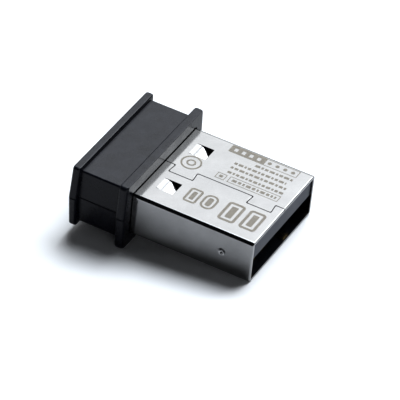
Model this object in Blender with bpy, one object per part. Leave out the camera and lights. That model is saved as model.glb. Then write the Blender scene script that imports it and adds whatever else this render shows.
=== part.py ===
"""A nano USB-A wireless adapter: a folded steel plug shell, a black clamshell cap and the board inside.

Everything is modelled about the plug's own axis: +X is the way the plug goes into its port, +Z is the
seam side of the shell, and x = 0 is the seating face, where the shell leaves the cap. One empty carries
all the pieces and puts them where the part's origin asks: under the middle of its bounding box.
"""
import math

import bmesh
import bpy
from mathutils import Vector
from mathutils.geometry import delaunay_2d_cdt

MM = 0.001

# Plug shell: the standard plug section, 12.0 x 4.5 mm of 0.3 mm steel strip
SHELL_WIDTH = 12.0 * MM
SHELL_HEIGHT = 4.5 * MM
STEEL = 0.3 * MM
SHELL_BEND = 0.36 * MM
SHELL_LENGTH = 12.3 * MM
SHELL_TAIL = 1.6 * MM
SEAM_Y = 0.06 * MM
SEAM_GAP = 0.09 * MM
DOVETAIL_STARTS = (1.12 * MM, 9.12 * MM)
DOVETAIL_LENGTH = 2.2 * MM
DOVETAIL_DEPTH = 1.16 * MM
DOVETAIL_FLARE = 0.1 * MM
DOVETAIL_ROUND = 0.14 * MM
LANCE_HINGE_X = 1.22 * MM
LANCE_END_X = 2.93 * MM
LANCE_WIDTH = 1.62 * MM
LANCE_OFFSET = 3.06 * MM
LANCE_CURL = 2.0 * MM
LANCE_SLOPE = math.radians(30)
LANCE_SLOT = 0.05 * MM
LANCE_STEPS = 8
LIP_REACH = 0.12 * MM
LIP_FALL = 0.07 * MM
DIMPLE_X = 9.28 * MM
DIMPLE_RADIUS = 0.42 * MM
DIMPLE_DEPTH = 0.16 * MM
# round stakes that lock the seam beside its dovetails: x and radius of each
STAKES = ((3.5 * MM, 0.35 * MM), (9.2 * MM, 0.5 * MM))
STAKE_Y = -0.5 * MM
STAKE_DEPTH = 0.012 * MM
WINDOW_SIZE = 2.3 * MM
WINDOW_FROM_MOUTH = 5.16 * MM
WINDOW_OFFSET = 2.5 * MM
WINDOW_ROUND = 0.2 * MM

# Cap: two moulded halves that meet on the plug's mid plane
CAP_LENGTH = 5.85 * MM
CAP_LIFT = 0.08 * MM
REAR_FLANGE = 0.77 * MM
FRONT_FLANGE = 0.86 * MM
PARTING_GAP = 0.02 * MM
PARTING_CHAMFER = 0.05 * MM
ROOT_DRAFT = 0.04 * MM
# half width at the parting line, half height, draft of the sides, radius of the long corners
REAR_SECTION = (7.24 * MM, 3.3 * MM, 0.125, 0.24 * MM)
WAIST_SECTION = (6.66 * MM, 2.88 * MM, 0.078, 0.2 * MM)
FRONT_SECTION = (7.42 * MM, 3.52 * MM, 0.065, 0.38 * MM)
# radii of a flange's end edges, seen from above and seen from the side
REAR_EDGES = (0.22 * MM, 0.15 * MM)
SEAT_EDGES = (0.3 * MM, 0.08 * MM)
CAP_WALL = 0.62 * MM
CAVITY_HALF_WIDTH = 5.7 * MM
CAVITY_HALF_HEIGHT = 2.2 * MM
FIT = 0.03 * MM
# the front opening's lead-in, which leaves a dark gap round the plug
LEAD_IN_DEPTH = 0.35 * MM
LEAD_IN_GAP = 0.14 * MM

# Contact carrier, contacts and board, seen along the plug
CARRIER_FRONT = SHELL_LENGTH - 0.15 * MM
CARRIER_REAR = 1.15 * MM
CARRIER_BEVEL = 0.1 * MM
NOTCH_FLOOR = 1.12 * MM
BULKHEAD_X = 3.25 * MM
BULKHEAD_THICKNESS = 0.65 * MM
CONTACT_WIDTH = 1.0 * MM
CONTACT_THICKNESS = 0.25 * MM
CONTACT_PROUD = 0.05 * MM
CONTACT_BEVEL = 0.03 * MM
CONTACT_TAIL_X = 0.35 * MM
POWER_PITCH = 3.5 * MM
DATA_PITCH = 1.0 * MM
POWER_SETBACK = 1.1 * MM
DATA_SETBACK = 2.1 * MM
BOARD_TOP = -0.1 * MM
BOARD_THICKNESS = 0.8 * MM
BOARD_REAR = -5.05 * MM
BOARD_FRONT = 3.15 * MM
BOARD_WIDTH = 11.0 * MM
PIN_X = -4.4 * MM
PIN_Y = 4.75 * MM
PIN_RADIUS = 0.35 * MM
PIN_CLEARANCE = 0.08 * MM
PIN_ROOT = 0.2 * MM
PIN_REACH = 1.6 * MM
LEDGE_FRONT = -3.7 * MM
LEDGE_DEPTH = 1.8 * MM
SOCKET_DEPTH = 0.95 * MM
SOCKET_LENGTH = 1.5 * MM
MOUNTING_GAP = 0.03 * MM
CHIP_BEVEL = 0.05 * MM
RADIO_CHIP = (6.0 * MM, 0.85 * MM)
RADIO_CHIP_X = 0.0
REGULATOR_SIZE = (1.6 * MM, 1.6 * MM, 0.6 * MM)
REGULATOR_PLACE = (-1.0 * MM, 3.7 * MM)
ESD_SIZE = (1.6 * MM, 1.2 * MM, 0.55 * MM)
ESD_PLACE = (-0.75 * MM, -1.1 * MM)
ESD_LEAD_PAIRS = 3
LEAD_PITCH = 0.5 * MM
LEAD_WIDTH = 0.22 * MM
LEAD_REACH = 0.2 * MM
LEAD_HEIGHT = 0.12 * MM
CRYSTAL_SIZE = (3.2 * MM, 2.5 * MM, 0.5 * MM)
CRYSTAL_PLACE = (-2.1 * MM, -3.3 * MM)
LID_INSET = 0.15 * MM
LID_HEIGHT = 0.2 * MM
PIN_ONE_RADIUS = 0.25 * MM
PIN_ONE_DEPTH = 0.08 * MM
PASSIVE_STEP = 0.03 * MM
TERMINATION_SHARE = 0.22

TOTAL_LENGTH = CAP_LENGTH + SHELL_LENGTH
SEAT_X = CAP_LENGTH - TOTAL_LENGTH / 2
AXIS_Z = FRONT_SECTION[1] - CAP_LIFT


def clear_scene():
    for item in list(bpy.data.objects):
        bpy.data.objects.remove(item, do_unlink=True)


def make_material(name, colour, roughness, metallic):
    material = bpy.data.materials.new(name)
    material.use_nodes = True
    shader = material.node_tree.nodes["Principled BSDF"]
    shader.inputs["Base Color"].default_value = (*colour, 1.0)
    shader.inputs["Roughness"].default_value = roughness
    shader.inputs["Metallic"].default_value = metallic
    material.diffuse_color = (*colour, 1.0)
    return material


def add_object(name, mesh, material, parent, location=(0.0, 0.0, 0.0)):
    item = bpy.data.objects.new(name, mesh)
    bpy.context.collection.objects.link(item)
    item.parent = parent
    item.location = location
    if material:
        mesh.materials.append(material)
    return item


def finish_mesh(name, work, smooth_angle=35.0):
    """Turns a bmesh into a mesh whose faces point out and whose gentle edges are smooth."""
    bmesh.ops.recalc_face_normals(work, faces=work.faces)
    mesh = bpy.data.meshes.new(name)
    work.to_mesh(mesh)
    work.free()
    mesh.shade_smooth()
    mesh.set_sharp_from_angle(angle=math.radians(smooth_angle))
    return mesh


def arc(centre, radius, start, end, steps):
    """Points on an arc, both ends included; angles in degrees."""
    points = []
    for i in range(steps + 1):
        angle = math.radians(start + (end - start) * i / steps)
        points.append((centre[0] + radius * math.cos(angle), centre[1] + radius * math.sin(angle)))
    return points


def rounded_rectangle(half_width, half_height, radius, steps=4):
    """A closed outline about the origin, counter-clockwise."""
    w = half_width - radius
    h = half_height - radius
    points = arc((w, -h), radius, -90, 0, steps)
    points += arc((w, h), radius, 0, 90, steps)
    points += arc((-w, h), radius, 90, 180, steps)
    points += arc((-w, -h), radius, 180, 270, steps)
    return points


def loft(name, stations):
    """A closed solid through (x, outline) stations; the outlines are (y, z) loops of equal length."""
    work = bmesh.new()
    loops = [[work.verts.new((x, y, z)) for y, z in outline] for x, outline in stations]
    count = len(loops[0])
    for first, second in zip(loops, loops[1:]):
        for i in range(count):
            j = (i + 1) % count
            work.faces.new((first[i], first[j], second[j], second[i]))
    work.faces.new(loops[0])
    work.faces.new(loops[-1])
    return finish_mesh(name, work)


def box_mesh(name, size, bevel=0.0, segments=1):
    work = bmesh.new()
    bmesh.ops.create_cube(work, size=1.0)
    bmesh.ops.scale(work, vec=size, verts=work.verts)
    if bevel:
        bmesh.ops.bevel(work, geom=list(work.edges), offset=bevel, segments=segments, profile=0.5,
                        affect="EDGES", clamp_overlap=True)
    return finish_mesh(name, work)


def cylinder_mesh(name, radius, depth, sides=20):
    work = bmesh.new()
    bmesh.ops.create_cone(work, cap_ends=True, segments=sides, radius1=radius, radius2=radius, depth=depth)
    return finish_mesh(name, work)


def boolean(target, cutter, operation="DIFFERENCE"):
    """Adds an exact Boolean to target; the cutter stays in the file as a hidden guide."""
    cutter.hide_render = True
    cutter.display_type = "WIRE"
    modifier = target.modifiers.new(cutter.name, "BOOLEAN")
    modifier.operation = operation
    modifier.solver = "EXACT"
    modifier.object = cutter


# ---------------------------------------------------------------------------------------------
# Plug shell: a flat blank with its seam edges, lances and windows, folded round the plug section
# ---------------------------------------------------------------------------------------------

TOP_FLAT = SHELL_WIDTH - 2 * SHELL_BEND
SIDE_FLAT = SHELL_HEIGHT - 2 * SHELL_BEND
BEND_LENGTH = SHELL_BEND * math.pi / 2
HALF_TOP_FAR = TOP_FLAT / 2 - SEAM_Y
PERIMETER = 2 * TOP_FLAT + 2 * SIDE_FLAT + 4 * BEND_LENGTH
BEND_STEPS = 5
DOVETAIL_STEPS = 3
PRESS_RINGS = (0.25, 0.5, 0.75, 1.0)
PRESS_STEPS = 24
LIP_SHARES = (1.0, 0.5, 0.25)
SAME_POINT = 1e-5


def fold(v, depth):
    """Where a point v along the folded strip lies in (y, z), at a depth below the outer face.

    v is 0 at the seam and runs over the far half of the top, round the shell and back to the seam.
    """
    y, z = SEAM_Y, SHELL_HEIGHT / 2
    heading = Vector((1.0, 0.0))
    inward = Vector((0.0, -1.0))
    position = Vector((y, z))
    flats = (HALF_TOP_FAR, SIDE_FLAT, TOP_FLAT, SIDE_FLAT)
    left = v
    for flat in flats:
        if left <= flat:
            break
        position = position + heading * flat
        left -= flat
        turn = min(left / SHELL_BEND, math.pi / 2)
        centre = position + inward * SHELL_BEND
        new_heading = heading * math.cos(turn) + inward * math.sin(turn)
        new_inward = inward * math.cos(turn) - heading * math.sin(turn)
        position = centre - new_inward * SHELL_BEND
        heading, inward = new_heading, new_inward
        left -= BEND_LENGTH
        if left <= 0.0:
            left = 0.0
            break
    return position + heading * left + inward * depth


def bend_lines():
    """The v of every line that the strip is bent on."""
    lines = []
    v = 0.0
    for flat in (HALF_TOP_FAR, SIDE_FLAT, TOP_FLAT, SIDE_FLAT):
        v += flat
        lines += [v + BEND_LENGTH * i / BEND_STEPS for i in range(BEND_STEPS + 1)]
        v += BEND_LENGTH
    return lines


def seam_edge(inset):
    """The jigsaw edge from tail to mouth as (x, v), moved towards +v by inset.

    The dovetails point to -v: an inset of zero follows the far half's edge.
    """
    steps = DOVETAIL_STEPS
    r = DOVETAIL_ROUND
    points = [(-SHELL_TAIL, inset)]
    for start in DOVETAIL_STARTS:
        neck_a = start + inset
        neck_b = start + DOVETAIL_LENGTH - inset
        tip_v = -DOVETAIL_DEPTH + inset
        base_a = neck_a - DOVETAIL_FLARE
        base_b = neck_b + DOVETAIL_FLARE
        points += arc((neck_a - r, inset - r), r, 90, 0, steps)
        points += arc((base_a + r, tip_v + r), r, 180, 270, steps)
        points += arc((base_b - r, tip_v + r), r, 270, 360, steps)
        points += arc((neck_b + r, inset - r), r, 180, 90, steps)
    points.append((SHELL_LENGTH, inset))
    return points


def lance_centres():
    """The v of the middle of each tab, far one first."""
    return LANCE_OFFSET - SEAM_Y, PERIMETER - LANCE_OFFSET - SEAM_Y


def lance_slots():
    """Two U-shaped slots; each frees a tab on three sides and leaves it hinged on its cap side."""
    slots = []
    half = LANCE_WIDTH / 2
    for centre in lance_centres():
        near, far = centre - half, centre + half
        outer = LANCE_SLOT
        slots.append([
            (LANCE_HINGE_X, near - outer),
            (LANCE_END_X + outer, near - outer),
            (LANCE_END_X + outer, far + outer),
            (LANCE_HINGE_X, far + outer),
            (LANCE_HINGE_X, far),
            (LANCE_END_X, far),
            (LANCE_END_X, near),
            (LANCE_HINGE_X, near),
        ])
    return slots


def lower_windows():
    """Two retention windows in the face opposite the seam."""
    middle = PERIMETER / 2 - SEAM_Y
    centre_x = SHELL_LENGTH - WINDOW_FROM_MOUTH - WINDOW_SIZE / 2
    outline = rounded_rectangle(WINDOW_SIZE / 2, WINDOW_SIZE / 2, WINDOW_ROUND, 2)
    windows = []
    for side in (-1, 1):
        centre_v = middle + side * WINDOW_OFFSET
        windows.append([(centre_x + x, centre_v + v) for x, v in outline])
    return windows


def side_middles():
    """The v of the middle of each side wall."""
    far = HALF_TOP_FAR + BEND_LENGTH + SIDE_FLAT / 2
    near = far + SIDE_FLAT + TOP_FLAT + 2 * BEND_LENGTH
    return far, near


def press_marks():
    """Every round press mark as (x, v, radius, depth). A stake across the seam is there for both halves."""
    marks = [(DIMPLE_X, middle, DIMPLE_RADIUS, DIMPLE_DEPTH) for middle in side_middles()]
    for x, radius in STAKES:
        for half_start in (0.0, PERIMETER):
            marks.append((x, half_start + STAKE_Y - SEAM_Y, radius, STAKE_DEPTH))
    return marks


def press_rings():
    rings = []
    for x, v, radius, _ in press_marks():
        for share in PRESS_RINGS:
            rings.append(arc((x, v), radius * share, 0, 360 - 360 / PRESS_STEPS, PRESS_STEPS - 1))
    return rings


def lance_drop(x, v):
    """How a point on a tab is bent down: its new x, how far down it goes and the tab's angle there."""
    half = LANCE_WIDTH / 2 + LANCE_SLOT / 2
    for centre in lance_centres():
        on_tab = abs(v - centre) < half and LANCE_HINGE_X < x < LANCE_END_X + LANCE_SLOT / 2
        if on_tab:
            along = x - LANCE_HINGE_X
            angle = min(along / LANCE_CURL, LANCE_SLOPE)
            straight = along - LANCE_CURL * angle
            new_x = LANCE_HINGE_X + LANCE_CURL * math.sin(angle) + straight * math.cos(angle)
            return new_x, LANCE_CURL * (1 - math.cos(angle)) + straight * math.sin(angle), angle
    return x, 0.0, 0.0


def press_drop(x, v):
    for mark_x, mark_v, radius, depth in press_marks():
        distance = math.hypot(x - mark_x, v - mark_v)
        if distance < radius:
            return depth * 0.5 * (1 + math.cos(math.pi * distance / radius))
    return 0.0


def mouth_rounding(x):
    """How far the outer face falls in beside the mouth, where the blank's edge is rolled over."""
    distance = SHELL_LENGTH - x
    if distance >= LIP_REACH:
        return 0.0
    return LIP_FALL * (1 - distance / LIP_REACH) ** 2


def shell_point(x, v, depth):
    new_x, drop, angle = lance_drop(x, v)
    if drop:
        y, z = fold(v, 0.0)
        return new_x - depth * math.sin(angle), y, z - drop - depth * math.cos(angle)
    y, z = fold(v, depth + press_drop(x, v) + (mouth_rounding(x) if depth == 0.0 else 0.0))
    return x, y, z


def encloses(loop, x, y):
    """Whether a point lies inside a closed loop."""
    inside = False
    for (x1, y1), (x2, y2) in zip(loop, loop[1:] + loop[:1]):
        if (y1 > y) != (y2 > y) and x < x1 + (y - y1) * (x2 - x1) / (y2 - y1):
            inside = not inside
    return inside


def blank_guides():
    """Lines the triangles may not cross: where the steel bends, curls or rolls over."""
    guides = []
    for v in bend_lines():
        guides.append(((-SHELL_TAIL, v), (SHELL_LENGTH, v)))
    for share in LIP_SHARES:
        x = SHELL_LENGTH - LIP_REACH * share
        guides.append(((x, 0.0), (x, PERIMETER - SEAM_GAP)))
    for centre in lance_centres():
        for share in range(LANCE_STEPS):
            x = LANCE_HINGE_X + (LANCE_END_X - LANCE_HINGE_X) * share / LANCE_STEPS
            guides.append(((x, centre - LANCE_WIDTH / 2), (x, centre + LANCE_WIDTH / 2)))
    return guides


def shell_blank():
    """Triangulates the blank: its corner points, and the triangles that are steel."""
    outline = seam_edge(0.0)
    outline += [(x, PERIMETER + v) for x, v in reversed(seam_edge(-SEAM_GAP))]
    holes = lance_slots() + lower_windows()
    points = []
    edges = []
    for loop in [outline] + holes + press_rings():
        first = len(points)
        edges += [(first + i, first + (i + 1) % len(loop)) for i in range(len(loop))]
        points += loop
    for start, end in blank_guides():
        edges.append((len(points), len(points) + 1))
        points += [start, end]
    flat = [Vector((x / MM, v / MM)) for x, v in points]
    result = delaunay_2d_cdt(flat, edges, [], 0, SAME_POINT)
    corners = [(p[0] * MM, p[1] * MM) for p in result[0]]
    triangles = []
    for triangle in result[2]:
        x = sum(corners[i][0] for i in triangle) / 3
        v = sum(corners[i][1] for i in triangle) / 3
        if encloses(outline, x, v) and not any(encloses(hole, x, v) for hole in holes):
            triangles.append(triangle)
    return corners, triangles


def make_plug_shell(material, parent):
    corners, triangles = shell_blank()
    work = bmesh.new()
    outer = {}
    inner = {}
    for triangle in triangles:
        for i in triangle:
            if i not in outer:
                x, v = corners[i]
                outer[i] = work.verts.new(shell_point(x, v, 0.0))
                inner[i] = work.verts.new(shell_point(x, v, STEEL))
    border = {}
    for a, b, c in triangles:
        work.faces.new((outer[a], outer[b], outer[c]))
        work.faces.new((inner[c], inner[b], inner[a]))
        for edge in ((a, b), (b, c), (c, a)):
            key = tuple(sorted(edge))
            border[key] = None if key in border else edge
    for edge in border.values():
        if edge:
            a, b = edge
            work.faces.new((outer[b], outer[a], inner[a], inner[b]))
    return add_object("plug_shell", finish_mesh("plug_shell", work), material, parent)


# ---------------------------------------------------------------------------------------------
# Cap: upper and lower covers
# ---------------------------------------------------------------------------------------------

CORNER_STEPS = 4
EDGE_STEPS = 4


def half_outline(section, side, inset_y=0.0, inset_z=0.0):
    """Half of a cap section: flat on the parting plane, drafted sides, rounded corners.

    side is 1 for the upper cover and -1 for the lower one.
    """
    half_width, half_height, draft, corner = section
    half_width -= inset_y
    half_height -= inset_z
    foot = PARTING_GAP
    lip = foot + PARTING_CHAMFER
    shoulder_y = half_width - draft * (half_height - corner)
    right = [(half_width - PARTING_CHAMFER, foot), (half_width, lip)]
    right += arc((shoulder_y - corner, half_height - corner), corner, 0, 90, CORNER_STEPS)
    left = [(-y, z) for y, z in reversed(right)]
    return [(y, side * z) for y, z in right + left]


def round_inset(radius, distance):
    """How far a rounded edge falls in at a distance from the end face that it meets."""
    left = max(radius - distance, 0.0)
    return radius - math.sqrt(radius * radius - left * left)


def flange_stations(start, end, section, start_edges, end_edges, side):
    """A raised band of the cap between x = start and x = end, with both ends rounded over."""
    stations = []
    for face, inward, (plan, profile) in ((start, 1, start_edges), (end, -1, end_edges)):
        rings = []
        for i in range(EDGE_STEPS + 1):
            distance = plan * (1 - math.cos(math.radians(90 * i / EDGE_STEPS)))
            inset_y, inset_z = round_inset(plan, distance), round_inset(profile, distance)
            rings.append((face + inward * distance, half_outline(section, side, inset_y, inset_z)))
        stations += rings[::inward]
    return stations


def make_cover(name, side, material, parent):
    rear_end = -CAP_LENGTH + REAR_FLANGE
    waist = half_outline(WAIST_SECTION, side)
    stations = flange_stations(-CAP_LENGTH, rear_end, REAR_SECTION, REAR_EDGES, REAR_EDGES, side)
    stations += [(rear_end + ROOT_DRAFT, waist), (-FRONT_FLANGE - ROOT_DRAFT, waist)]
    stations += flange_stations(-FRONT_FLANGE, 0.0, FRONT_SECTION, REAR_EDGES, SEAT_EDGES, side)
    return add_object(name, loft(name, stations), material, parent)


def shell_clearance(gap):
    return rounded_rectangle(SHELL_WIDTH / 2 + gap, SHELL_HEIGHT / 2 + gap, SHELL_BEND + gap)


def make_cap(material, parent):
    """Both covers, hollowed for the board and opened for the shell, with pins that hold the board."""
    cap = bpy.data.objects.new("cap_axis", None)
    bpy.context.collection.objects.link(cap)
    cap.parent = parent
    cap.location.z = CAP_LIFT
    upper = make_cover("upper_cover", 1, material, cap)
    lower = make_cover("lower_cover", -1, material, cap)
    cavity_rear = -CAP_LENGTH + CAP_WALL
    sleeve_rear = -SHELL_TAIL - MOUNTING_GAP
    cavity_size = (-FRONT_FLANGE - cavity_rear, 2 * CAVITY_HALF_WIDTH, 2 * CAVITY_HALF_HEIGHT)
    cavity = add_object("cavity_cutter", box_mesh("cavity_cutter", cavity_size), None, cap)
    cavity.location.x = (-FRONT_FLANGE + cavity_rear) / 2
    snug = shell_clearance(FIT)
    loose = shell_clearance(LEAD_IN_GAP)
    stations = [(sleeve_rear, snug), (-LEAD_IN_DEPTH, snug)]
    stations += [(-LEAD_IN_DEPTH / 4, loose), (FRONT_FLANGE, loose)]
    sleeve_mesh = loft("sleeve_cutter", stations)
    sleeve = add_object("sleeve_cutter", sleeve_mesh, None, parent)
    for cover in (upper, lower):
        boolean(cover, cavity)
        boolean(cover, sleeve)
    for side, label in ((-1, "near"), (1, "far")):
        pin_length = CAVITY_HALF_HEIGHT + PIN_ROOT + PIN_REACH
        pin_z = CAVITY_HALF_HEIGHT + PIN_ROOT - pin_length / 2
        pin_mesh = cylinder_mesh("pin_" + label, PIN_RADIUS, pin_length)
        pin = add_object("pin_" + label, pin_mesh, None, cap, (PIN_X, side * PIN_Y, pin_z))
        boolean(upper, pin, "UNION")
        ledge_top = BOARD_TOP - BOARD_THICKNESS - MOUNTING_GAP - CAP_LIFT
        ledge_bottom = -CAVITY_HALF_HEIGHT - PIN_ROOT
        ledge_back = cavity_rear - PIN_ROOT
        ledge_size = (LEDGE_FRONT - ledge_back, LEDGE_DEPTH, ledge_top - ledge_bottom)
        ledge = add_object("ledge_" + label, box_mesh("ledge_" + label, ledge_size), None, cap)
        ledge_y = CAVITY_HALF_WIDTH + PIN_ROOT - LEDGE_DEPTH / 2
        ledge.location = ((LEDGE_FRONT + ledge_back) / 2, side * ledge_y, (ledge_top + ledge_bottom) / 2)
        boolean(lower, ledge, "UNION")
        socket_mesh = cylinder_mesh("socket_" + label, PIN_RADIUS + PIN_CLEARANCE, SOCKET_LENGTH)
        socket_z = ledge_top + SOCKET_LENGTH / 2 - SOCKET_DEPTH
        socket = add_object("socket_" + label, socket_mesh, None, cap, (PIN_X, side * PIN_Y, socket_z))
        boolean(lower, socket)


# ---------------------------------------------------------------------------------------------
# Contact carrier and contacts
# ---------------------------------------------------------------------------------------------


def contact_list():
    """Name, centre y and front end of each contact, in pin order."""
    power = SHELL_LENGTH - POWER_SETBACK
    data = SHELL_LENGTH - DATA_SETBACK
    return (
        ("contact_vbus", POWER_PITCH, power),
        ("contact_data_minus", DATA_PITCH, data),
        ("contact_data_plus", -DATA_PITCH, data),
        ("contact_ground", -POWER_PITCH, power),
    )


def make_carrier(material, parent):
    length = CARRIER_FRONT - CARRIER_REAR
    top = SHELL_HEIGHT / 2 - STEEL - FIT
    half_width = SHELL_WIDTH / 2 - STEEL - 1.5 * FIT
    tongue_size = (length, 2 * half_width, top)
    tongue_mesh = box_mesh("contact_carrier", tongue_size, CARRIER_BEVEL, 2)
    carrier = add_object("contact_carrier", tongue_mesh, material, parent)
    carrier.location = ((CARRIER_FRONT + CARRIER_REAR) / 2, 0.0, top / 2)
    wall_top = top / 2
    wall_size = (BULKHEAD_THICKNESS, 2 * half_width - 2 * CARRIER_BEVEL, top + wall_top)
    bulkhead = add_object("bulkhead_form", box_mesh("bulkhead_form", wall_size), None, parent)
    bulkhead.location = (BULKHEAD_X + BULKHEAD_THICKNESS / 2, 0.0, (wall_top - top) / 2)
    boolean(carrier, bulkhead, "UNION")
    for name, y, front in contact_list():
        groove_top = CONTACT_THICKNESS - CONTACT_PROUD + FIT
        groove_bottom = -CONTACT_PROUD - FIT
        start = CARRIER_REAR - FIT
        end = front + FIT
        size = (end - start, CONTACT_WIDTH + 2 * FIT, groove_top - groove_bottom)
        label = name.replace("contact", "groove")
        groove = add_object(label, box_mesh(label, size), None, parent)
        groove.location = ((start + end) / 2, y, (groove_top + groove_bottom) / 2)
        boolean(carrier, groove)
    for side, label in ((-1, "near"), (1, "far")):
        start = CARRIER_REAR - FIT
        end = LANCE_END_X + FIT
        size = (end - start, LANCE_WIDTH + 4 * LANCE_SLOT, top)
        notch = add_object("notch_" + label, box_mesh("notch_" + label, size), None, parent)
        notch.location = ((start + end) / 2, side * LANCE_OFFSET, NOTCH_FLOOR + top / 2)
        boolean(carrier, notch)


def make_contacts(material, parent):
    for name, y, front in contact_list():
        length = front - CONTACT_TAIL_X
        mesh = box_mesh(name, (length, CONTACT_WIDTH, CONTACT_THICKNESS), CONTACT_BEVEL)
        contact = add_object(name, mesh, material, parent)
        z = CONTACT_THICKNESS / 2 - CONTACT_PROUD
        contact.location = ((front + CONTACT_TAIL_X) / 2, y, z)


# ---------------------------------------------------------------------------------------------
# Board and its components
# ---------------------------------------------------------------------------------------------


def make_board(material, parent):
    size = (BOARD_FRONT - BOARD_REAR, BOARD_WIDTH, BOARD_THICKNESS)
    board = add_object("circuit_board", box_mesh("circuit_board", size), material, parent)
    middle = BOARD_TOP - BOARD_THICKNESS / 2
    board.location = ((BOARD_FRONT + BOARD_REAR) / 2, 0.0, middle)
    for side, label in ((-1, "near"), (1, "far")):
        mesh = cylinder_mesh("hole_" + label, PIN_RADIUS + PIN_CLEARANCE, 2 * BOARD_THICKNESS)
        hole = add_object("hole_" + label, mesh, None, parent, (PIN_X, side * PIN_Y, middle))
        boolean(board, hole)


def stand_on_board(item, x, y, height, turned=False):
    item.location = (x, y, BOARD_TOP + MOUNTING_GAP + height / 2)
    if turned:
        item.rotation_euler.z = math.pi / 2


def hang_under_board(item, x, y, height, turned=False):
    item.location = (x, y, BOARD_TOP - BOARD_THICKNESS - MOUNTING_GAP - height / 2)
    if turned:
        item.rotation_euler.z = math.pi / 2


def make_passive(name, size, material, parent):
    """A chip part lying along x: two end terminations a little proud of the body between them."""
    length, width, height = size
    step = PASSIVE_STEP
    cap = rounded_rectangle(width / 2, height / 2, 2 * step, 2)
    rim = rounded_rectangle(width / 2 - step, height / 2 - step, step, 2)
    band = length * TERMINATION_SHARE
    half = length / 2
    stations = [(-half, rim), (-half + step, cap), (-half + band, cap), (-half + band, rim)]
    stations += [(half - band, rim), (half - band, cap), (half - step, cap), (half, rim)]
    return add_object(name, loft(name, stations), material, parent)


def make_chips(resin, steel, ceramic, parent):
    """The packages that are not two-ended chip parts."""
    side, height = RADIO_CHIP
    radio = add_object("radio_chip", box_mesh("radio_chip", (side, side, height), CHIP_BEVEL), resin, parent)
    hang_under_board(radio, RADIO_CHIP_X, 0.0, height)
    dot_mesh = cylinder_mesh("pin_one_dimple", PIN_ONE_RADIUS, 2 * PIN_ONE_DEPTH)
    corner = side / 2 - 3 * PIN_ONE_RADIUS
    dot_z = BOARD_TOP - BOARD_THICKNESS - MOUNTING_GAP - height
    dot = add_object("pin_one_dimple", dot_mesh, None, parent, (RADIO_CHIP_X - corner, corner, dot_z))
    boolean(radio, dot)

    regulator_mesh = box_mesh("voltage_regulator", REGULATOR_SIZE, CHIP_BEVEL)
    regulator = add_object("voltage_regulator", regulator_mesh, resin, parent)
    stand_on_board(regulator, *REGULATOR_PLACE, REGULATOR_SIZE[2])

    esd_mesh = box_mesh("esd_protection_chip", ESD_SIZE, CHIP_BEVEL)
    esd = add_object("esd_protection_chip", esd_mesh, resin, parent)
    esd_x, esd_y = ESD_PLACE
    stand_on_board(esd, esd_x, esd_y, ESD_SIZE[2])
    lead_size = (LEAD_WIDTH, ESD_SIZE[1] + 2 * LEAD_REACH, LEAD_HEIGHT)
    for i in range(ESD_LEAD_PAIRS):
        label = f"lead_pair_{i + 1}"
        leads = add_object(label, box_mesh(label, lead_size), None, parent)
        stand_on_board(leads, esd_x + (i - (ESD_LEAD_PAIRS - 1) / 2) * LEAD_PITCH, esd_y, LEAD_HEIGHT)
        boolean(esd, leads, "UNION")

    length, width, base_height = CRYSTAL_SIZE
    case = add_object("crystal_case", box_mesh("crystal_case", CRYSTAL_SIZE, CHIP_BEVEL), ceramic, parent)
    stand_on_board(case, *CRYSTAL_PLACE, base_height)
    lid_size = (length - 2 * LID_INSET, width - 2 * LID_INSET, LID_HEIGHT)
    lid = add_object("crystal_lid", box_mesh("crystal_lid", lid_size, CHIP_BEVEL), steel, parent)
    lid_z = BOARD_TOP + 2 * MOUNTING_GAP + base_height + LID_HEIGHT / 2
    lid.location = (*CRYSTAL_PLACE, lid_z)


def make_board_parts(ceramic, tan, ferrite, parent):
    """The two-ended parts: the antenna and the passives, each (name, size, x, y, turned, material)."""
    small = (1.0 * MM, 0.5 * MM, 0.5 * MM)
    top_side = (
        ("chip_antenna", (3.2 * MM, 1.6 * MM, 1.1 * MM), -4.1 * MM, 1.7 * MM, True, ceramic),
        ("bulk_capacitor", (2.0 * MM, 1.25 * MM, 1.1 * MM), -0.95 * MM, 0.75 * MM, False, tan),
        ("ferrite_bead", (1.6 * MM, 0.8 * MM, 0.8 * MM), -0.9 * MM, 2.2 * MM, False, ferrite),
        ("capacitor_1", small, -2.65 * MM, 3.9 * MM, True, tan),
        ("capacitor_2", small, -2.65 * MM, -1.1 * MM, False, tan),
        ("capacitor_3", small, -4.25 * MM, -3.3 * MM, True, tan),
        ("inductor_1", small, -2.65 * MM, 1.3 * MM, False, ferrite),
        ("inductor_2", small, -2.65 * MM, 0.4 * MM, False, ferrite),
        ("resistor_1", small, -0.2 * MM, -2.6 * MM, True, ferrite),
        ("resistor_2", small, -0.2 * MM, -4.1 * MM, True, ferrite),
    )
    under_side = (
        ("capacitor_4", small, -3.9 * MM, -2.0 * MM, True, tan),
        ("capacitor_5", small, -3.9 * MM, 0.0, True, tan),
        ("capacitor_6", small, -3.9 * MM, 2.0 * MM, True, tan),
        ("resistor_3", small, 0.1 * MM, 4.2 * MM, False, ferrite),
    )
    for name, size, x, y, turned, material in top_side:
        stand_on_board(make_passive(name, size, material, parent), x, y, size[2], turned)
    for name, size, x, y, turned, material in under_side:
        hang_under_board(make_passive(name, size, material, parent), x, y, size[2], turned)


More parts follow.
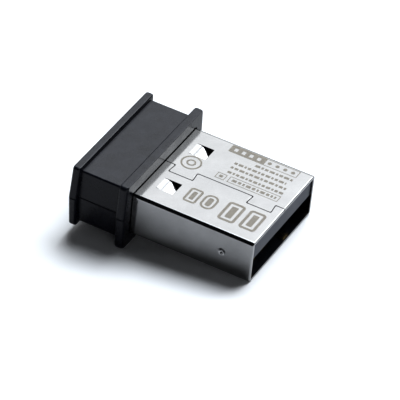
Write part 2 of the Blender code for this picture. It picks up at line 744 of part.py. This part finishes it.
def main():
    clear_scene()
    axis = bpy.data.objects.new("plug_axis", None)
    bpy.context.collection.objects.link(axis)
    axis.empty_display_size = SHELL_WIDTH
    axis.location = (SEAT_X, 0.0, AXIS_Z)

    stainless = make_material("stainless_steel", (0.8, 0.8, 0.78), 0.25, 1.0)
    cap_plastic = make_material("cap_plastic", (0.03, 0.03, 0.035), 0.4, 0.0)
    carrier_plastic = make_material("carrier_plastic", (0.05, 0.055, 0.065), 0.5, 0.0)
    gold = make_material("gold_plating", (0.9, 0.7, 0.35), 0.25, 1.0)
    laminate = make_material("board_laminate", (0.03, 0.2, 0.08), 0.5, 0.0)
    resin = make_material("chip_resin", (0.03, 0.03, 0.03), 0.5, 0.0)
    ceramic = make_material("white_ceramic", (0.8, 0.79, 0.74), 0.5, 0.0)
    tan = make_material("tan_ceramic", (0.45, 0.33, 0.2), 0.5, 0.0)
    ferrite = make_material("dark_ceramic", (0.06, 0.06, 0.07), 0.5, 0.0)

    make_plug_shell(stainless, axis)
    make_cap(cap_plastic, axis)
    make_carrier(carrier_plastic, axis)
    make_contacts(gold, axis)
    make_board(laminate, axis)
    make_chips(resin, stainless, ceramic, axis)
    make_board_parts(ceramic, tan, ferrite, axis)


main()
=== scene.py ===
"""Looks, marks, floor, light and camera for the nano USB wireless adapter.

Places are given in millimetres about the plug's axis, as on a drawing: x from the cap's front
face towards the mouth, y across the plug away from the camera, z up from the plug's axis. at()
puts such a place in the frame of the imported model.
"""
import math

import bmesh
import bpy
from mathutils import Matrix, Vector


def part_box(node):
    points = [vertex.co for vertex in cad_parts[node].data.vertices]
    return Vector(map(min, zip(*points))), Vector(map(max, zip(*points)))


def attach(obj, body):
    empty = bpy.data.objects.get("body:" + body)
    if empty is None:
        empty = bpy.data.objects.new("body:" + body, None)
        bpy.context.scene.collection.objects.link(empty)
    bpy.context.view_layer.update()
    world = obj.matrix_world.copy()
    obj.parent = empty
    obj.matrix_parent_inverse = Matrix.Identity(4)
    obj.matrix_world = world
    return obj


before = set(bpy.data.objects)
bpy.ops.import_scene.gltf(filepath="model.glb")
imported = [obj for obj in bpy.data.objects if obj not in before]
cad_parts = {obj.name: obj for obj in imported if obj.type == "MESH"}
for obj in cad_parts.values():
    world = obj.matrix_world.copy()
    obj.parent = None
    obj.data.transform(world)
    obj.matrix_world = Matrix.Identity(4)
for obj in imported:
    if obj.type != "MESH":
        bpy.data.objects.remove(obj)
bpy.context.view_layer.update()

MM = 0.001

# The cap's front face and lowest point, and the plug's axis and top
SHELL_LOW, SHELL_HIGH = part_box("plug_shell")
SEAT_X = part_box("upper_cover")[1][0]
FOOT_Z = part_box("lower_cover")[0][2]
AXIS_Z = (SHELL_LOW[2] + SHELL_HIGH[2]) / 2
TOP_Z = (SHELL_HIGH[2] - AXIS_Z) / MM

# The object leans forward: it stands on the front flange's lower edge and on the mouth's lower edge
FLOOR_TILT = math.atan2(SHELL_LOW[2] - FOOT_Z, SHELL_HIGH[0] - SEAT_X)
FLOOR_DROP = 0.02 * MM
FLOOR_SIZE = 0.5

CAMERA_AIM = (3.58, 0.64, -1.14)
CAMERA_AZIMUTH = 24.75
CAMERA_ELEVATION = 38.72
CAMERA_DISTANCE = 319.5
CAMERA_LENS = 315.5
CAMERA_SENSOR = 36.0
CAMERA_CLIP = 5.0

VIEW_GAMMA = 0.78

# Each soft light: the azimuth and elevation it stands at, its angular radius, strength and colour
STUDIO_LIGHTS = (
    (163, 61, 13, 10.6, (0.9, 0.95, 1.0)),
    (191, 61, 13, 10.2, (0.9, 0.95, 1.0)),
    (183, 45, 13, 2.5, (0.95, 0.98, 1.0)),
    (155, 39, 11, 9.4, (0.95, 0.98, 1.0)),
    (207, 38, 15, 3.0, (0.97, 0.99, 1.0)),
    (45, 14, 20, 1.2, (0.95, 0.97, 1.0)),
    (278, 16, 28, 0.4, (0.95, 0.97, 1.0)),
    (0, 40, 50, 0.017, (0.7, 0.8, 1.0)),
)
LIGHT_EDGE = 0.3

# Base colours. Where there are two, the surface's own unevenness runs from one to the other
STEEL = ((0.285, 0.285, 0.288), (0.228, 0.228, 0.2304))
CAP_PLASTIC = ((0.002, 0.0025, 0.0065), (0.005, 0.0057, 0.0105))
CARRIER_PLASTIC = ((0.022, 0.028, 0.043), (0.028, 0.034, 0.051))
CHIP_RESIN = ((0.02, 0.02, 0.02), (0.03, 0.03, 0.03))
GOLD = ((0.93, 0.71, 0.33), (0.83, 0.6, 0.27))
SOLDER_MASK = ((0.03, 0.2, 0.07), (0.014, 0.11, 0.045))
TIN = ((0.72, 0.72, 0.7), (0.6, 0.6, 0.58))
LASER_MARK = ((0.215, 0.195, 0.165), (0.165, 0.15, 0.13))
PALE_FLOOR = ((0.9, 0.9, 0.91), (0.93, 0.93, 0.935))
# What faces up on the cap is blended towards this pale colour: partly settled dust, partly painted
# light that makes the tops lighter than the sides
DUST_AND_TOP_LIGHT = (0.25, 0.27, 0.33)
WHITE_CERAMIC = (0.8, 0.79, 0.74)
TAN_CERAMIC = (0.45, 0.33, 0.2)
DARK_CERAMIC = (0.06, 0.06, 0.07)
CERAMIC_SHADE = 0.8

# How much of a chip part's length each tinned end takes
TERMINATION_SHARE = 0.22

# The marks: how thick they stand, and how wide their lines and dashes are
MARK_THICKNESS = 0.004
HAIR_LINE = 0.07
RING_LINE = 0.17
PANEL_LINE = 0.22
TALL_PANEL_LINE = 0.27
SHARPEST_CORNER = 0.01
SHARPEST_CORE_CORNER = 0.08
DOT_RADIUS = 0.2
DASH_HEIGHT = 0.3
DASH_GAP = 0.14
BOXED_DASH_HEIGHT = 0.34
BOXED_DASH_GAP = 0.16
SHORTEST_DASH = 0.1

# Facets that meet at less than this angle are shaded as one rounding. A patch of coplanar facets
# wider than FLAT_WIDTH, in millimetres, is a face that stays flat
SMOOTH_LIMIT = math.cos(math.radians(34))
COPLANAR = math.cos(math.radians(0.5))
FLAT_WIDTH = 0.16


def at(x, y, z):
    """A point in millimetres about the plug's axis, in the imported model's frame."""
    return Vector((SEAT_X + x * MM, y * MM, AXIS_Z + z * MM))


# ---------------------------------------------------------------------------------------------
# Node materials
# ---------------------------------------------------------------------------------------------


class Nodes:
    """A material's node tree, with short ways to add what every material here uses."""

    def __init__(self, name):
        self.material = bpy.data.materials.new(name)
        self.material.use_nodes = True
        self.tree = self.material.node_tree
        self.shader = self.tree.nodes["Principled BSDF"]
        coordinates = self.tree.nodes.new("ShaderNodeTexCoord")
        self.position = coordinates.outputs["Object"]

    def set(self, **values):
        for name, value in values.items():
            self.shader.inputs[name.replace("_", " ")].default_value = value

    def link(self, output, name):
        self.tree.links.new(output, self.shader.inputs[name])

    def stretched(self, scale):
        """Object coordinates multiplied by (x, y, z)."""
        node = self.tree.nodes.new("ShaderNodeMapping")
        node.inputs["Scale"].default_value = scale
        self.tree.links.new(self.position, node.inputs["Vector"])
        return node.outputs["Vector"]

    def noise(self, grain, stretch=(1.0, 1.0, 1.0), detail=3.0, roughness=0.5):
        """Noise whose grain is about so many millimetres across."""
        node = self.tree.nodes.new("ShaderNodeTexNoise")
        node.inputs["Scale"].default_value = 1.0 / (grain * MM)
        node.inputs["Detail"].default_value = detail
        node.inputs["Roughness"].default_value = roughness
        self.tree.links.new(self.stretched(stretch), node.inputs["Vector"])
        return node.outputs["Fac"]

    def spread(self, value, low, high, from_low=0.3, from_high=0.7):
        """Maps a 0 to 1 pattern to the range from low to high."""
        node = self.tree.nodes.new("ShaderNodeMapRange")
        node.inputs["From Min"].default_value = from_low
        node.inputs["From Max"].default_value = from_high
        node.inputs["To Min"].default_value = low
        node.inputs["To Max"].default_value = high
        self.tree.links.new(value, node.inputs["Value"])
        return node.outputs["Result"]

    def blend(self, factor, first, second):
        """A mix of two colours by a 0 to 1 pattern."""
        node = self.tree.nodes.new("ShaderNodeMix")
        node.data_type = "RGBA"
        self.tree.links.new(factor, node.inputs["Factor"])
        for socket, colour in (("A", first), ("B", second)):
            target = [i for i in node.inputs if i.name == socket and i.type == "RGBA"][0]
            if isinstance(colour, tuple):
                target.default_value = (*colour, 1.0)
            else:
                self.tree.links.new(colour, target)
        return [o for o in node.outputs if o.type == "RGBA"][0]

    def maths(self, operation, first, second):
        node = self.tree.nodes.new("ShaderNodeMath")
        node.operation = operation
        for socket, value in zip(node.inputs, (first, second)):
            if isinstance(value, (int, float)):
                socket.default_value = value
            else:
                self.tree.links.new(value, socket)
        return node.outputs["Value"]

    def facing_up(self):
        geometry = self.tree.nodes.new("ShaderNodeNewGeometry")
        split = self.tree.nodes.new("ShaderNodeSeparateXYZ")
        self.tree.links.new(geometry.outputs["Normal"], split.inputs["Vector"])
        return split.outputs["Z"]

    def bump(self, height, depth, strength=1.0):
        """A bump whose relief is about so many millimetres deep."""
        node = self.tree.nodes.new("ShaderNodeBump")
        node.inputs["Strength"].default_value = strength
        node.inputs["Distance"].default_value = depth * MM
        self.tree.links.new(height, node.inputs["Height"])
        self.tree.links.new(node.outputs["Normal"], self.shader.inputs["Normal"])


def steel(name, roughness):
    """Rolled stainless strip: a faint grain along the plug, a few handling marks, mottled gloss."""
    m = Nodes(name)
    m.set(Metallic=1.0)
    grain = m.noise(0.05, (0.12, 1.0, 1.0), 4.0, 0.6)
    patches = m.noise(2.2, detail=2.0)
    stain = m.maths("ADD", m.maths("MULTIPLY", grain, 0.4), m.maths("MULTIPLY", patches, 0.6))
    m.link(m.blend(m.spread(stain, 0.0, 1.0), *STEEL), "Base Color")
    gloss = m.maths("ADD", m.maths("MULTIPLY", grain, 0.5), m.maths("MULTIPLY", patches, 0.5))
    m.link(m.spread(gloss, roughness - 0.05, roughness + 0.06), "Roughness")
    m.bump(grain, 0.0006, 0.6)
    return m.material


def moulded(name, colours, roughness, grain=0.09, specular=0.5, dust_and_top_light=0.0):
    """Moulded plastic: a fine spark-eroded texture, uneven gloss, and on what faces up some dust
    mixed with painted light that makes the tops lighter.
    """
    m = Nodes(name)
    m.set(Specular_IOR_Level=specular)
    fine = m.noise(grain, detail=4.0, roughness=0.6)
    broad = m.noise(1.6, detail=2.0)
    clean = m.blend(m.spread(broad, 0.0, 1.0), *colours)
    # Faces turned up are lightened in clouds: partly dust, partly painted light on the tops
    dust_and_light_amount = m.spread(m.noise(1.1, detail=4.0, roughness=0.6), 0.3 * dust_and_top_light, dust_and_top_light)
    dust_and_light_share = m.maths("MULTIPLY", m.spread(m.facing_up(), 0.0, 1.0, 0.7, 0.98), dust_and_light_amount)
    m.link(m.blend(dust_and_light_share, clean, DUST_AND_TOP_LIGHT), "Base Color")
    gloss = m.maths("ADD", m.maths("MULTIPLY", fine, 0.5), m.maths("MULTIPLY", broad, 0.5))
    m.link(m.spread(gloss, roughness - 0.06, roughness + 0.08), "Roughness")
    m.bump(fine, 0.004, 0.8)
    return m.material


def plated(name):
    """Gold plating, worn along the way the contacts are rubbed."""
    m = Nodes(name)
    m.set(Metallic=1.0)
    wear = m.noise(0.25, (0.2, 1.0, 1.0), 3.0)
    m.link(m.blend(m.spread(wear, 0.0, 1.0), *GOLD), "Base Color")
    m.link(m.spread(wear, 0.18, 0.32), "Roughness")
    m.bump(wear, 0.001, 0.4)
    return m.material


def laminate(name):
    """Green solder mask over copper: the copper areas show through as paler patches."""
    m = Nodes(name)
    cells = m.tree.nodes.new("ShaderNodeTexVoronoi")
    cells.distance = "CHEBYCHEV"
    cells.inputs["Scale"].default_value = 1.0 / (0.55 * MM)
    m.tree.links.new(m.stretched((1.0, 1.0, 1.0)), cells.inputs["Vector"])
    copper = m.spread(cells.outputs["Distance"], 0.0, 1.0, 0.28, 0.34)
    m.link(m.blend(copper, *SOLDER_MASK), "Base Color")
    m.link(m.spread(m.noise(0.12), 0.25, 0.4), "Roughness")
    m.bump(copper, 0.01, 0.5)
    return m.material


def speckled(m, colour, smoothest, roughest):
    """Gives a material a fired ceramic's fine speckle, and returns the speckle and its colour."""
    speckle = m.noise(0.06, detail=4.0)
    shade = tuple(CERAMIC_SHADE * c for c in colour)
    m.link(m.spread(speckle, smoothest, roughest), "Roughness")
    m.bump(speckle, 0.003, 0.5)
    return speckle, m.blend(m.spread(speckle, 0.0, 1.0), colour, shade)


def fired(name, colour):
    """Unglazed ceramic."""
    m = Nodes(name)
    _, body = speckled(m, colour, 0.37, 0.53)
    m.link(body, "Base Color")
    return m.material


def chip_part(name, colour):
    """A two-ended ceramic chip part: its body colour gives way to tinned metal at both ends."""
    low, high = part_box(name)
    axis = 0 if high[0] - low[0] > high[1] - low[1] else 1
    half = (high[axis] - low[axis]) / 2
    m = Nodes(name + "_finish")
    split = m.tree.nodes.new("ShaderNodeSeparateXYZ")
    m.tree.links.new(m.position, split.inputs["Vector"])
    along = m.maths("SUBTRACT", split.outputs[axis], (high[axis] + low[axis]) / 2)
    from_middle = m.maths("ABSOLUTE", along, 0.0)
    tinned = m.maths("GREATER_THAN", from_middle, half * (1 - 2 * TERMINATION_SHARE))
    speckle, body = speckled(m, colour, 0.35, 0.5)
    tin = m.blend(m.spread(speckle, 0.0, 1.0), *TIN)
    m.link(m.blend(tinned, body, tin), "Base Color")
    m.link(tinned, "Metallic")
    return m.material


def laser_mark(name):
    """Laser-darkened steel: taupe, matt and faintly streaked along the scan lines."""
    m = Nodes(name)
    m.set(Metallic=0.35)
    scan = m.noise(0.05, (1.0, 0.15, 1.0), 3.0)
    m.link(m.blend(m.spread(scan, 0.0, 1.0), *LASER_MARK), "Base Color")
    m.link(m.spread(scan, 0.5, 0.65), "Roughness")
    m.bump(scan, 0.001, 0.4)
    return m.material


def dress(material, *nodes):
    for name in nodes:
        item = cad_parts[name]
        item.data.materials.clear()
        item.data.materials.append(material)


def flat_patches(corners, normals, areas):
    """Which triangles lie on a wide flat face, rather than on a narrow facet of a rounding."""
    by_edge = {}
    for t, triangle in enumerate(corners):
        for i in range(3):
            by_edge.setdefault(frozenset((triangle[i], triangle[i - 1])), []).append(t)
    patch = list(range(len(corners)))

    def root(t):
        while patch[t] != t:
            t = patch[t]
        return t

    for sharing in by_edge.values():
        for other in sharing[1:]:
            if normals[sharing[0]].dot(normals[other]) > COPLANAR:
                patch[root(other)] = root(sharing[0])
    members = {}
    for t in range(len(corners)):
        members.setdefault(root(t), []).append(t)
    flat = [False] * len(corners)
    for group in members.values():
        points = [Vector(c) for t in group for c in corners[t]]
        low = Vector(min(p[i] for p in points) for i in range(3))
        high = Vector(max(p[i] for p in points) for i in range(3))
        wide = sum(areas[t] for t in group) > FLAT_WIDTH * (high - low).length
        for t in group:
            flat[t] = wide
    return flat


def smooth(item):
    """Shades a CAD node's roundings smoothly, running out evenly into the flat faces beside."""
    mesh = item.data
    places = [tuple(round(c / MM, 5) for c in v.co) for v in mesh.vertices]
    corners = [[places[v] for v in p.vertices] for p in mesh.polygons]
    normals = [Vector(p.normal) for p in mesh.polygons]
    areas = [p.area / MM**2 for p in mesh.polygons]
    flat = flat_patches(corners, normals, areas)
    around = {}
    for t, triangle in enumerate(corners):
        for corner in triangle:
            around.setdefault(corner, []).append(t)
    shading = []
    for t, triangle in enumerate(corners):
        for corner in triangle:
            near = [s for s in around[corner] if normals[s].dot(normals[t]) > SMOOTH_LIMIT]
            leading = [s for s in near if flat[s]] or near
            total = sum((normals[s] * areas[s] for s in leading), Vector())
            shading.append(normals[t] if flat[t] else total.normalized())
    mesh.polygons.foreach_set("use_smooth", [True] * len(mesh.polygons))
    mesh.normals_split_custom_set(shading)


# ---------------------------------------------------------------------------------------------
# Marks on the plug's seam side: plain shapes
# ---------------------------------------------------------------------------------------------


def add_marks(name, outlines, material):
    """One thin piece of flat marks. An outline is a loop of (x, y), or a loop and its hole."""
    work = bmesh.new()
    for outline in outlines:
        loops = outline if isinstance(outline[0], list) else [outline]
        rings = [[work.verts.new(at(x, y, TOP_Z)) for x, y in loop] for loop in loops]
        if len(rings) == 1:
            work.faces.new(rings[0])
        else:
            outer, inner = rings
            for i in range(len(outer)):
                j = (i + 1) % len(outer)
                work.faces.new((outer[i], outer[j], inner[j], inner[i]))
    bmesh.ops.recalc_face_normals(work, faces=work.faces)
    base = list(work.faces)
    lifted = bmesh.ops.extrude_face_region(work, geom=base)
    moved = [g for g in lifted["geom"] if isinstance(g, bmesh.types.BMVert)]
    bmesh.ops.translate(work, verts=moved, vec=(0.0, 0.0, MARK_THICKNESS * MM))
    bmesh.ops.recalc_face_normals(work, faces=work.faces)
    mesh = bpy.data.meshes.new(name)
    work.to_mesh(mesh)
    work.free()
    mesh.materials.append(material)
    item = bpy.data.objects.new(name, mesh)
    bpy.context.collection.objects.link(item)
    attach(item, "root")


def bar(x0, x1, y0, y1):
    return [(x0, y0), (x1, y0), (x1, y1), (x0, y1)]


def frame_outline(x0, x1, y0, y1, line):
    return [bar(x0, x1, y0, y1), bar(x0 + line, x1 - line, y0 + line, y1 - line)]


def circle(x, y, radius, steps=40):
    angles = [2 * math.pi * i / steps for i in range(steps)]
    return [(x + radius * math.cos(a), y + radius * math.sin(a)) for a in angles]


def rounded(x0, x1, y0, y1, radius, steps=6):
    loop = []
    centres = ((x1 - radius, y0 + radius, -90), (x1 - radius, y1 - radius, 0),
               (x0 + radius, y1 - radius, 90), (x0 + radius, y0 + radius, 180))
    for x, y, start in centres:
        for i in range(steps + 1):
            angle = math.radians(start + 90 * i / steps)
            loop.append((x + radius * math.cos(angle), y + radius * math.sin(angle)))
    return loop


def ring(x, y, radius, line):
    return [circle(x, y, radius), circle(x, y, radius - line)]


def rounded_frame(x0, x1, y0, y1, radius, line):
    corner = max(radius - line, SHARPEST_CORNER)
    inner = rounded(x0 + line, x1 - line, y0 + line, y1 - line, corner)
    return [rounded(x0, x1, y0, y1, radius), inner]


def filled_panel(x0, x1, y0, y1, radius, line):
    """A rounded frame round a solid core, with a clear band between them as wide as the line."""
    inset = 2 * line
    corner = max(radius - inset, SHARPEST_CORE_CORNER)
    core = rounded(x0 + inset, x1 - inset, y0 + inset, y1 - inset, corner)
    return [rounded_frame(x0, x1, y0, y1, radius, line), core]


def dash_row(x0, x1, y, lengths, height=DASH_HEIGHT, gap=DASH_GAP):
    """A row of short dashes from x0 to x1; the lengths repeat."""
    dashes = []
    x, i = x0, 0
    while x < x1 - SHORTEST_DASH:
        end = min(x + lengths[i % len(lengths)], x1)
        dashes.append(bar(x, end, y - height / 2, y + height / 2))
        x, i = end + gap, i + 1
    return dashes


def make_marks(ink):
    rings = [ring(2.1, 1.1, radius, RING_LINE) for radius in (1.0, 0.46)]
    add_marks("mark_ring", rings, ink)

    panels = filled_panel(3.9, 5.2, -4.05, -1.95, 0.3, PANEL_LINE)
    panels += filled_panel(5.5, 6.9, -4.05, -1.95, 0.65, PANEL_LINE)
    add_marks("mark_panels", panels, ink)
    tall = filled_panel(7.7, 9.4, -4.55, -1.75, 0.35, TALL_PANEL_LINE)
    tall += filled_panel(9.85, 11.5, -4.55, -1.75, 0.35, TALL_PANEL_LINE)
    add_marks("mark_tall_panels", tall, ink)

    slots = [bar(4.05, 7.6, 4.55, 4.83), bar(4.05, 7.6, 5.3, 5.62)]
    slots += [bar(x, x + 0.42, 4.83, 5.3) for x in (4.05, 4.83, 5.61, 6.4, 7.18)]
    add_marks("mark_plate", slots, ink)
    plate = [frame_outline(7.6, 11.05, 4.55, 5.58, HAIR_LINE)]
    plate += [circle(x, 5.06, DOT_RADIUS) for x in (8.1, 8.9, 9.7, 10.5)]
    add_marks("mark_plate_outline", plate, ink)

    rows = dash_row(7.15, 11.0, 4.05, (0.5, 0.22, 0.34))
    rows += dash_row(5.4, 10.7, 3.3, (0.3, 0.46, 0.2))
    rows += dash_row(5.4, 11.05, 2.6, (0.24, 0.36, 0.5))
    rows += dash_row(5.45, 11.3, 1.85, (0.4, 0.2, 0.3))
    add_marks("mark_dashes", rows, ink)

    boxes = [frame_outline(4.8, 5.75, 0.5, 1.35, HAIR_LINE)]
    boxes += [frame_outline(6.05, 11.2, 0.5, 1.4, HAIR_LINE)]
    boxes += [bar(5.1, 5.45, 0.75, 1.1)]
    boxes += dash_row(6.4, 10.9, 0.95, (0.46, 0.3, 0.2), BOXED_DASH_HEIGHT, BOXED_DASH_GAP)
    add_marks("mark_boxes", boxes, ink)


# ---------------------------------------------------------------------------------------------
# Floor, light and camera
# ---------------------------------------------------------------------------------------------


def floor_material():
    m = Nodes("pale_floor")
    m.set(Specular_IOR_Level=0.2)
    m.link(m.blend(m.noise(8.0), *PALE_FLOOR), "Base Color")
    m.set(Roughness=0.8)
    return m.material


def floor_matrix():
    """The floor's place: just under the flange's lower edge, and rising towards the mouth."""
    tilt = Matrix.Rotation(-FLOOR_TILT, 4, "Y")
    contact = Vector((SEAT_X, 0.0, FOOT_Z - FLOOR_DROP))
    return Matrix.Translation(contact) @ tilt


def make_floor():
    work = bmesh.new()
    bmesh.ops.create_grid(work, x_segments=1, y_segments=1, size=FLOOR_SIZE / 2)
    mesh = bpy.data.meshes.new("floor")
    work.to_mesh(mesh)
    work.free()
    mesh.materials.append(floor_material())
    floor = bpy.data.objects.new("floor", mesh)
    bpy.context.collection.objects.link(floor)
    floor.matrix_world = floor_matrix()


def direction(azimuth, elevation):
    """From the object outwards: azimuth 0 is the -Y side, 90 the +X side, in degrees."""
    a, e = math.radians(azimuth), math.radians(elevation)
    return Vector((math.sin(a) * math.cos(e), -math.cos(a) * math.cos(e), math.sin(e)))


def make_world():
    """A dim studio with soft lights in it, each brightest in the middle and fading outwards."""
    world = bpy.data.worlds.new("studio")
    world.use_nodes = True
    tree = world.node_tree
    coordinates = tree.nodes.new("ShaderNodeTexCoord")
    total = None
    for azimuth, elevation, radius, strength, colour in STUDIO_LIGHTS:
        facing = tree.nodes.new("ShaderNodeVectorMath")
        facing.operation = "DOT_PRODUCT"
        facing.inputs[1].default_value = direction(azimuth, elevation)
        tree.links.new(coordinates.outputs["Generated"], facing.inputs[0])
        fade = tree.nodes.new("ShaderNodeMapRange")
        fade.interpolation_type = "SMOOTHSTEP"
        fade.inputs["From Min"].default_value = math.cos(math.radians(radius * (1 + LIGHT_EDGE)))
        fade.inputs["From Max"].default_value = math.cos(math.radians(radius * (1 - LIGHT_EDGE)))
        tree.links.new(facing.outputs["Value"], fade.inputs["Value"])
        scaled = tree.nodes.new("ShaderNodeVectorMath")
        scaled.operation = "SCALE"
        scaled.inputs[0].default_value = [strength * c for c in colour]
        tree.links.new(fade.outputs["Result"], scaled.inputs["Scale"])
        if total is None:
            total = scaled.outputs["Vector"]
        else:
            both = tree.nodes.new("ShaderNodeVectorMath")
            tree.links.new(total, both.inputs[0])
            tree.links.new(scaled.outputs["Vector"], both.inputs[1])
            total = both.outputs["Vector"]
    tree.links.new(total, tree.nodes["Background"].inputs["Color"])
    bpy.context.scene.world = world


def make_camera():
    camera = bpy.data.cameras.new("camera")
    camera.lens = CAMERA_LENS
    camera.sensor_width = CAMERA_SENSOR
    camera.clip_start = CAMERA_CLIP * MM
    item = bpy.data.objects.new("camera", camera)
    bpy.context.collection.objects.link(item)
    back = direction(CAMERA_AZIMUTH, CAMERA_ELEVATION)
    floor_up = floor_matrix().to_3x3() @ Vector((0.0, 0.0, 1.0))
    right = floor_up.cross(back).normalized()
    up = back.cross(right)
    turn = Matrix((right, up, back)).transposed().to_4x4()
    item.matrix_world = Matrix.Translation(at(*CAMERA_AIM) + back * CAMERA_DISTANCE * MM) @ turn
    bpy.context.scene.camera = item


def main():
    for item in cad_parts.values():
        smooth(item)
    dress(steel("stainless_steel", 0.125), "plug_shell")
    dress(steel("crystal_lid_steel", 0.35), "crystal_lid")
    # The cap's up-facing faces get dust and painted light, so its tops read lighter than its sides
    cap = moulded("cap_plastic", CAP_PLASTIC, 0.27, specular=0.23, dust_and_top_light=0.07)
    dress(cap, "upper_cover", "lower_cover")
    dress(moulded("carrier_plastic", CARRIER_PLASTIC, 0.5), "contact_carrier")
    contacts = ["contact_" + line for line in ("vbus", "data_minus", "data_plus", "ground")]
    dress(plated("gold_plating"), *contacts)
    dress(laminate("board_laminate"), "circuit_board")
    resin = moulded("chip_resin", CHIP_RESIN, 0.55, grain=0.04)
    dress(resin, "radio_chip", "voltage_regulator", "esd_protection_chip")
    dress(fired("white_ceramic", WHITE_CERAMIC), "crystal_case")
    dress(chip_part("chip_antenna", WHITE_CERAMIC), "chip_antenna")
    for name in ["bulk_capacitor"] + [f"capacitor_{i}" for i in range(1, 7)]:
        dress(chip_part(name, TAN_CERAMIC), name)
    inductors = ["ferrite_bead", "inductor_1", "inductor_2"]
    for name in inductors + [f"resistor_{i}" for i in range(1, 4)]:
        dress(chip_part(name, DARK_CERAMIC), name)
    make_marks(laser_mark("laser_mark"))
    make_floor()
    make_world()
    make_camera()
    view = bpy.context.scene.view_settings
    view.view_transform = "Standard"
    view.gamma = VIEW_GAMMA


main()
